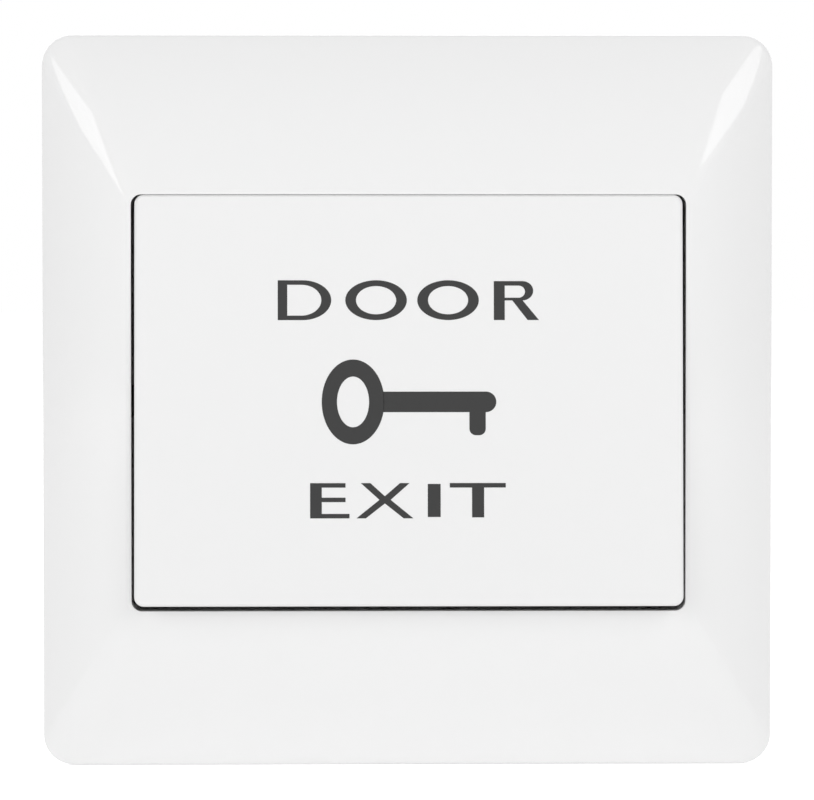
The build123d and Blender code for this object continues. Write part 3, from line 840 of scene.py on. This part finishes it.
class EXITBUTTON_OT_springs(Operator):
    """Build the return spring and the contact spring"""

    bl_idname = "exit_button.springs"
    bl_label = "Springs"

    def execute(self, context):
        wire_steel = drawn_wire(context.scene.finish_colours)
        for node, body, joint, turns, wire in (
            ("return_spring", "wall_unit", "plunger_slide", 5, 0.5 * MM),
            ("contact_spring", "plunger", "bridge_slide", 4, 0.3 * MM),
        ):
            spring = build_spring(node + "_wire", node, turns, wire)
            finish_piece(spring, body, wire_steel, "spring_steel", node)
            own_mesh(spring)
        return {"FINISHED"}


# The print


def arc_points(centre_x, centre_up, half_x, half_up, start, end, steps):
    """Points on part of an ellipse, from its centre, its two half axes and the turn in degrees."""
    turn = np.radians(np.linspace(start, end, steps))
    return np.stack([centre_x + half_x * np.cos(turn), centre_up + half_up * np.sin(turn)], axis=1)


def slab(outline, height):
    """A flat printed shape: its outline on the face, the same outline one ink height out, the
    walls between them and the two ends."""
    outline = np.asarray(outline) * MM
    count = len(outline)
    levels = np.array([0.0, height])[:, None]
    points = face_point(outline[:, 0], outline[:, 1], levels).reshape(-1, 3)
    faces = grid_faces(2, count, close_rows=False)
    return points, faces + [list(range(count)), list(range(count, 2 * count))]


def ring(outer, inner, height):
    """A flat printed ring between two outlines of equal count: four loops, joined in turn."""
    loops = np.stack([outer, outer, inner, inner]) * MM
    levels = np.array([0.0, height, height, 0.0])[:, None]
    points = face_point(loops[..., 0], loops[..., 1], levels).reshape(-1, 3)
    return points, grid_faces(4, len(outer), close_rows=True)


def printed_piece(name, shapes):
    """One piece from several flat shapes."""
    return mesh_piece(name, *joined(shapes), smooth=False)


def oval(centre, half, steps=64):
    """A closed ellipse about a centre, from its two half axes."""
    return arc_points(*centre, *half, 0, 360, steps + 1)[:-1]


def bowl_ends(left, right, low, high, bowl, steps=31):
    """A closed outline, straight on its left and round on its right: two level sides joined by
    half an ellipse that is as wide as the bowl."""
    middle, half = (low + high) / 2, (high - low) / 2
    round_end = arc_points(right - bowl, middle, bowl, half, -90, 90, steps)
    return np.concatenate([[[left, low]], round_end, [[left, high]]])


def door_word(sizes):
    """The word DOOR in wide plain capitals, places in millimetres from the face's middle. Each O
    is an ellipse with an ellipse cut out, and D and R have bowls that end in half ellipses."""
    height, stem, bar = sizes.ink_height, sizes.stem / MM, sizes.bar / MM
    low, high = 9.3, 13.92
    middle, half = (low + high) / 2, (high - low) / 2

    left, right, bowl, side, inner_bowl = -15.2, -9.0, 3.3, 1.15, 2.3
    outer = bowl_ends(left, right, low, high, bowl)
    inner = bowl_ends(left + stem, right - side, low + bar, high - bar, inner_bowl)
    shapes = [ring(outer, inner, height)]

    for centre in (-3.8, 4.55):
        outer = oval((centre, middle), (3.57, half))
        inner = oval((centre, middle), (2.33, 1.64))
        shapes.append(ring(outer, inner, height))

    # The stem of R is a little wider than that of D, and its bar at the waist is thinner
    left, right, top, waist, bowl, side, inner_bowl = 9.86, 14.43, 13.82, 11.58, 1.25, 0.95, 0.75
    stem_right, waist_bar = left + stem * 1.15, bar * 0.6
    outer = bowl_ends(left, right, waist, top, bowl, 21)
    inner = bowl_ends(stem_right, right - side, waist + waist_bar, top - bar, inner_bowl, 21)
    upright = [[left, low], [stem_right, low], [stem_right, waist], [left, waist]]
    leg = [[13.78, low], [15.1, low], [13.2, waist], [12.0, waist]]
    shapes += [ring(outer, inner, height), slab(upright, height), slab(leg, height)]
    return printed_piece("print_door", shapes)


def exit_word(sizes):
    """The word EXIT in wide plain capitals, places in millimetres from the face's middle."""
    height, bar = sizes.ink_height, sizes.bar / MM
    low, high, middle = -13.68, -9.6, -11.54

    left, stem_right, arm, base_end = -11.46, -10.11, -7.36, -6.9
    letter_e = [
        [left, low],
        [base_end, low],
        [base_end, low + bar],
        [stem_right, low + bar],
        [stem_right, middle - bar / 2],
        [arm, middle - bar / 2],
        [arm, middle + bar / 2],
        [stem_right, middle + bar / 2],
        [stem_right, high - bar],
        [arm, high - bar],
        [arm, high],
        [left, high],
    ]

    crotch, half_crotch = -2.8, 0.42
    letter_x = [
        [-6.1, low],
        [-5.0, low],
        [crotch, middle - half_crotch],
        [-0.62, low],
        [0.5, low],
        [-2.13, middle],
        [0.06, high],
        [-1.05, high],
        [crotch, middle + half_crotch],
        [-4.48, high],
        [-5.59, high],
        [-3.43, middle],
    ]

    left, right, foot, top = 2.17, 3.66, low + 0.15, high - 0.1
    letter_i = [[left, foot], [right, foot], [right, top], [left, top]]

    left, right, stem_left, stem_right, foot = 4.72, 11.21, 7.3, 8.7, low + 0.1
    letter_t = [
        [stem_left, foot],
        [stem_right, foot],
        [stem_right, high - bar],
        [right, high - bar],
        [right, high],
        [left, high],
        [left, high - bar],
        [stem_left, high - bar],
    ]
    letters = [slab(letter, height) for letter in (letter_e, letter_x, letter_i, letter_t)]
    return printed_piece("print_exit", letters)


def key_sign(sizes):
    """A plain key lying level, in millimetres from the face's middle: an oval bow, a shank with a
    round end and one bit under it with two round corners. The shank starts just inside the bow."""
    height = sizes.ink_height
    centre = (-6.48, -0.19)
    bow_half, hole_half = (3.63, 4.92), (1.86, 2.94)
    bow = ring(oval(centre, bow_half, 72), oval(centre, hole_half, 72), height)

    start, end = centre[0] + bow_half[0] * 0.965, 10.13
    low, high = -1.38, 1.0
    half = (high - low) / 2
    left, right, bottom, corner = 7.01, 8.9, -4.06, 0.75
    level = bottom + corner
    shank = np.concatenate(
        [
            [[start, low], [left, low]],
            arc_points(left + corner, level, corner, corner, 180, 270, 8),
            arc_points(right - corner, level, corner, corner, 270, 360, 8),
            [[right, low]],
            arc_points(end - half, (low + high) / 2, half, half, -88, 90, 19),
            [[start, high]],
        ]
    )
    return printed_piece("print_key", [bow, slab(shank, height)])


class EXITBUTTON_OT_print(Operator):
    """Print the two words and the key sign on the button's face"""

    bl_idname = "exit_button.print"
    bl_label = "Print"

    def execute(self, context):
        sizes = context.scene.print_sizes
        ink = printed_ink(context.scene.finish_colours)
        for make in (door_word, key_sign, exit_word):
            finish_piece(make(sizes), "button", ink, None)
        return {"FINISHED"}


# The studio


WHITE = (1.0, 1.0, 1.0, 1.0)

# Width of the photograph's frame in pixels, width of the camera's sensor in millimetres, and the
# point that the camera looks at
FRAME_PIXELS = 814
SENSOR_WIDTH = 36.0
AIM = Vector((-0.08 * MM, -2.6 * MM, 0.1 * MM))

# Half the floor's width, how far it lies under the plate, and its glow where it is seen directly
FLOOR_REACH = 3.0
FLOOR_DROP = 0.05 * MM
FLOOR_WHITE = 0.55

# How far the cards lie inside the wall screw slots
CARD_DEPTH = 1 * MM

# How far the lights stand from the plate, in metres
LIGHT_DISTANCE = 1.2

# Each light's name, its left and right bearing and its bottom and top elevation in degrees, the
# setting that holds its level, and whether reflections show it
LIGHTS = (
    ("left_panel", (-63.8, -28.6), (7.2, 33.9), "panel_level", True),
    ("right_panel", (21.5, 62), (19, 47), "panel_level", True),
    ("left_fill", (-60, -12), (0, 24), "fill_level", False),
    ("right_fill", (12, 60), (0, 24), "fill_level", False),
    ("rear_panel", (145, 215), (5, 50), "rear_level", True),
)


def direction(bearing, elevation):
    """The way to a bearing from the front and an elevation, both in radians: the elevation's
    cosine times the bearing's sine and minus its cosine, and the elevation's sine."""
    level = cos(elevation)
    return Vector((level * sin(bearing), -level * cos(bearing), sin(elevation)))


def point_at(thing, place, aim):
    """Adds a lamp or a camera at a place, turned to a point."""
    thing.location = place
    thing.rotation_euler = (aim - place).to_track_quat("-Z", "Y").to_euler()
    bpy.context.scene.collection.objects.link(thing)


def plate_piece(name, corners, material):
    """A single flat sheet of the studio."""
    mesh = bpy.data.meshes.new(name)
    mesh.from_pydata(corners, [], [[0, 1, 2, 3]])
    mesh.materials.append(material)
    sheet = bpy.data.objects.new(name, mesh)
    bpy.context.scene.collection.objects.link(sheet)


def rectangle(centre_x, half_x, half_y):
    """The four corners of a level rectangle as pairs of places, in turn."""
    return [
        (centre_x + x * half_x, y * half_y) for x, y in ((-1, -1), (1, -1), (1, 1), (-1, 1))
    ]


def seen_directly(tree):
    """One for camera, glossy and transmission rays, and nothing for the rays that carry light."""
    path = add_node(tree, "ShaderNodeLightPath").outputs
    first = add_node(tree, "ShaderNodeMath", operation="MAXIMUM")
    tree.links.new(path["Is Camera Ray"], first.inputs[0])
    tree.links.new(path["Is Glossy Ray"], first.inputs[1])
    second = add_node(tree, "ShaderNodeMath", operation="MAXIMUM")
    tree.links.new(first.outputs[0], second.inputs[0])
    tree.links.new(path["Is Transmission Ray"], second.inputs[1])
    return second.outputs[0]


def white_world(level):
    """Even light from all round, with plain white behind it for what is seen directly."""
    world = bpy.data.worlds.new("studio_surround")
    bpy.context.scene.world = world
    world.use_nodes = True
    tree = world.node_tree
    tree.nodes.clear()
    even = add_node(tree, "ShaderNodeBackground", color=WHITE, strength=level)
    plain = add_node(tree, "ShaderNodeBackground", color=WHITE, strength=1.0)
    mix = add_node(
        tree,
        "ShaderNodeMixShader",
        {0: seen_directly(tree), 1: even.outputs[0], 2: plain.outputs[0]},
    )
    add_node(tree, "ShaderNodeOutputWorld", {"Surface": mix.outputs[0]})


def white_floor(glow):
    """A pale light table: it glows softly from below, takes a faint shadow, and is lifted to
    white where it is seen directly. The glow lights the faces that look down at it."""
    material, tree, shader = new_material(
        "studio_floor",
        {
            "Base Color": (0.96, 0.96, 0.96, 1.0),
            "Roughness": 0.9,
            "Specular IOR Level": 0.0,
            "Emission Color": WHITE,
        },
    )
    lift = add_node(tree, "ShaderNodeMath", {0: seen_directly(tree)}, operation="MULTIPLY_ADD")
    lift.inputs[1].default_value = FLOOR_WHITE - glow
    lift.inputs[2].default_value = glow
    tree.links.new(lift.outputs[0], shader.inputs["Emission Strength"])
    return material


def light_panel(name, bearings, elevations, level):
    """A flat light that fills the directions between two bearings from the front and between two
    elevations, all in degrees. It faces the plate, and its sides are twice the distance times the
    tangent of half the angle. Its power is its level times pi times its area, so that it looks
    equally bright whatever its size."""
    (left, right), (bottom, top) = np.radians([bearings, elevations])
    elevation = (bottom + top) / 2
    light = bpy.data.lights.new(name, "AREA")
    light.shape = "RECTANGLE"
    light.size = 2 * LIGHT_DISTANCE * tan((right - left) / 2) * cos(elevation)
    light.size_y = 2 * LIGHT_DISTANCE * tan((top - bottom) / 2)
    light.energy = level * pi * light.size * light.size_y
    lamp = bpy.data.objects.new(name, light)
    point_at(lamp, LIGHT_DISTANCE * direction((left + right) / 2, elevation), Vector())
    return lamp


def close_slots():
    """A dark card in each wall screw slot, a little way into it, so that no light comes through from behind. Its
    near-black colour is painted shade, standing for the shaded wall behind the slot."""
    # The card's near-black colour is painted shade in the slot
    material = new_material("painted_shade_card", {"Base Color": (0.02, 0.02, 0.02, 1.0)})[0]
    slots = next(m for m in frame["record"]["mounts"] if m["name"] == "wall_screws")["dims"]
    middle = slots["spacing_x_mm"] * MM / 2
    half_x, half_z = slots["slot_length_mm"] * MM / 2, slots["hole_r_mm"] * MM
    for side, centre in (("left", -middle), ("right", middle)):
        corners = [(x, -CARD_DEPTH, z) for x, z in rectangle(centre, half_x, half_z)]
        plate_piece("card_" + side, corners, material)


def add_camera(studio):
    """A camera that looks at the plate from its bearing, elevation and distance. Its lens is the
    sensor's width times the plate's share of the frame, times the distance over the plate's
    width."""
    low, high = cad_box
    camera = bpy.data.cameras.new("camera")
    camera.sensor_width = SENSOR_WIDTH
    share = studio.plate_pixels / FRAME_PIXELS
    camera.lens = SENSOR_WIDTH * share * studio.camera_distance / (high[0] - low[0])
    camera.clip_start = 0.01
    camera.clip_end = 20.0
    viewer = bpy.data.objects.new("camera", camera)
    back = direction(studio.camera_bearing, studio.camera_elevation)
    point_at(viewer, AIM + back * studio.camera_distance, AIM)
    bpy.context.scene.camera = viewer


class EXITBUTTON_OT_studio(Operator):
    """Set up the floor, the surround, the lights and the camera"""

    bl_idname = "exit_button.studio"
    bl_label = "Studio"

    def execute(self, context):
        studio = context.scene.studio_settings
        floor = cad_box[0][2] - FLOOR_DROP
        corners = [(x, y, floor) for x, y in rectangle(0.0, FLOOR_REACH, FLOOR_REACH)]
        plate_piece("floor", corners, white_floor(studio.floor_glow))
        close_slots()
        white_world(studio.surround_level)
        for name, bearings, elevations, level, reflected in LIGHTS:
            lamp = light_panel(name, bearings, elevations, getattr(studio, level))
            lamp.visible_glossy = reflected
        add_camera(studio)
        context.scene.view_settings.view_transform = "Standard"
        return {"FINISHED"}


class EXITBUTTON_PT_panel(Panel):
    """Lists the steps that build the dressed button"""

    bl_label = "Exit Button"
    bl_space_type = "VIEW_3D"
    bl_region_type = "UI"
    bl_category = "Exit Button"

    def draw(self, context):
        for operator in OPERATORS:
            self.layout.operator(operator.bl_idname)
        for group in GROUPS:
            settings = getattr(context.scene, group)
            for name in settings.bl_rna.properties.keys():
                if name not in ("rna_type", "name"):
                    self.layout.prop(settings, name)


OPERATORS = (
    EXITBUTTON_OT_cover,
    EXITBUTTON_OT_mouldings,
    EXITBUTTON_OT_metalwork,
    EXITBUTTON_OT_springs,
    EXITBUTTON_OT_print,
    EXITBUTTON_OT_studio,
)
GROUPS = {
    "cover_sizes": CoverSizes,
    "moulding_sizes": MouldingSizes,
    "print_sizes": PrintSizes,
    "finish_colours": FinishColours,
    "studio_settings": StudioSettings,
}


def register():
    for kind in (*GROUPS.values(), *OPERATORS, EXITBUTTON_PT_panel):
        bpy.utils.register_class(kind)
    for name, group in GROUPS.items():
        setattr(bpy.types.Scene, name, PointerProperty(type=group))


def unregister():
    for name in GROUPS:
        delattr(bpy.types.Scene, name)
    for kind in reversed((*GROUPS.values(), *OPERATORS, EXITBUTTON_PT_panel)):
        bpy.utils.unregister_class(kind)


def main():
    register()
    bpy.ops.exit_button.cover()
    bpy.ops.exit_button.mouldings()
    bpy.ops.exit_button.metalwork()
    bpy.ops.exit_button.springs()
    bpy.ops.exit_button.print()
    bpy.ops.exit_button.studio()


if __name__ == "__main__":
    main()
